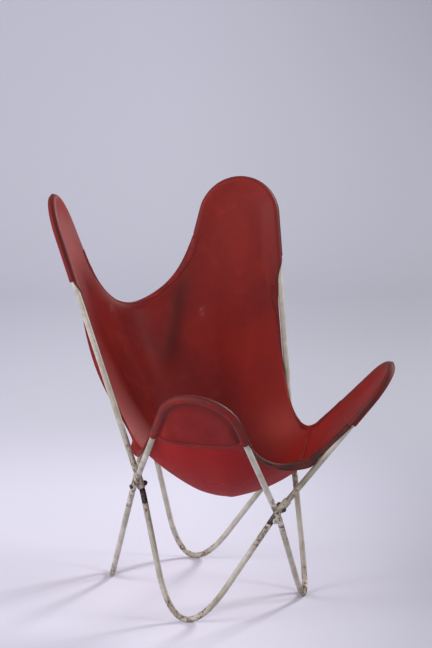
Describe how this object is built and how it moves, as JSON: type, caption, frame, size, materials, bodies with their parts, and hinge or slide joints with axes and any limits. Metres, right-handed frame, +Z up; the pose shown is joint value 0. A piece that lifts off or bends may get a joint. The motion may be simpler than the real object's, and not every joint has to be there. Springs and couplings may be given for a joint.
{
  "type": "butterfly sling chair",
  "caption": "Lounge chair with a leather sling hung by ear pockets on a folded-looking frame of bent steel rod loops that cross under the seat",
  "frame": {"origin": "on the floor, under the middle of the chair's bounding box", "axes": "+X is the sitter's left, +Y is the back of the chair, +Z is up; the sitter faces -Y"},
  "size_m": [0.6038, 0.6676, 0.8897],
  "materials": {
    "painted_rod": "cream enamel, worn and chipped",
    "dark_steel": "blackened steel fasteners, dull and a little rusty",
    "sling_leather": "oxblood hide, waxed, scuffed along the edges"
  },
  "bodies": {
    "root": {"back_right_ear_rod": "painted_rod", "back_left_ear_rod": "painted_rod", "front_right_ear_rod": "painted_rod", "front_left_ear_rod": "painted_rod", "back_right_foot_rod": "painted_rod", "back_left_foot_rod": "painted_rod", "front_right_foot_rod": "painted_rod", "front_left_foot_rod": "painted_rod", "side_right_sleeve": "painted_rod", "side_right_bolt": "dark_steel", "side_right_nut": "dark_steel", "side_left_sleeve": "painted_rod", "side_left_bolt": "dark_steel", "side_left_nut": "dark_steel", "front_sleeve": "painted_rod", "front_bolt": "dark_steel", "front_nut": "dark_steel", "back_sleeve": "painted_rod", "back_bolt": "dark_steel", "back_nut": "dark_steel", "front_weld": "painted_rod", "back_weld": "painted_rod", "main_panel": "sling_leather", "front_left_panel": "sling_leather", "front_right_panel": "sling_leather", "front_left_pocket": "sling_leather", "back_left_pocket": "sling_leather", "back_right_pocket": "sling_leather", "front_right_pocket": "sling_leather", "side_left_notch_hem": "sling_leather", "back_notch_hem": "sling_leather", "side_right_notch_hem": "sling_leather", "front_notch_hem": "sling_leather"}
  },
  "joints": []
}
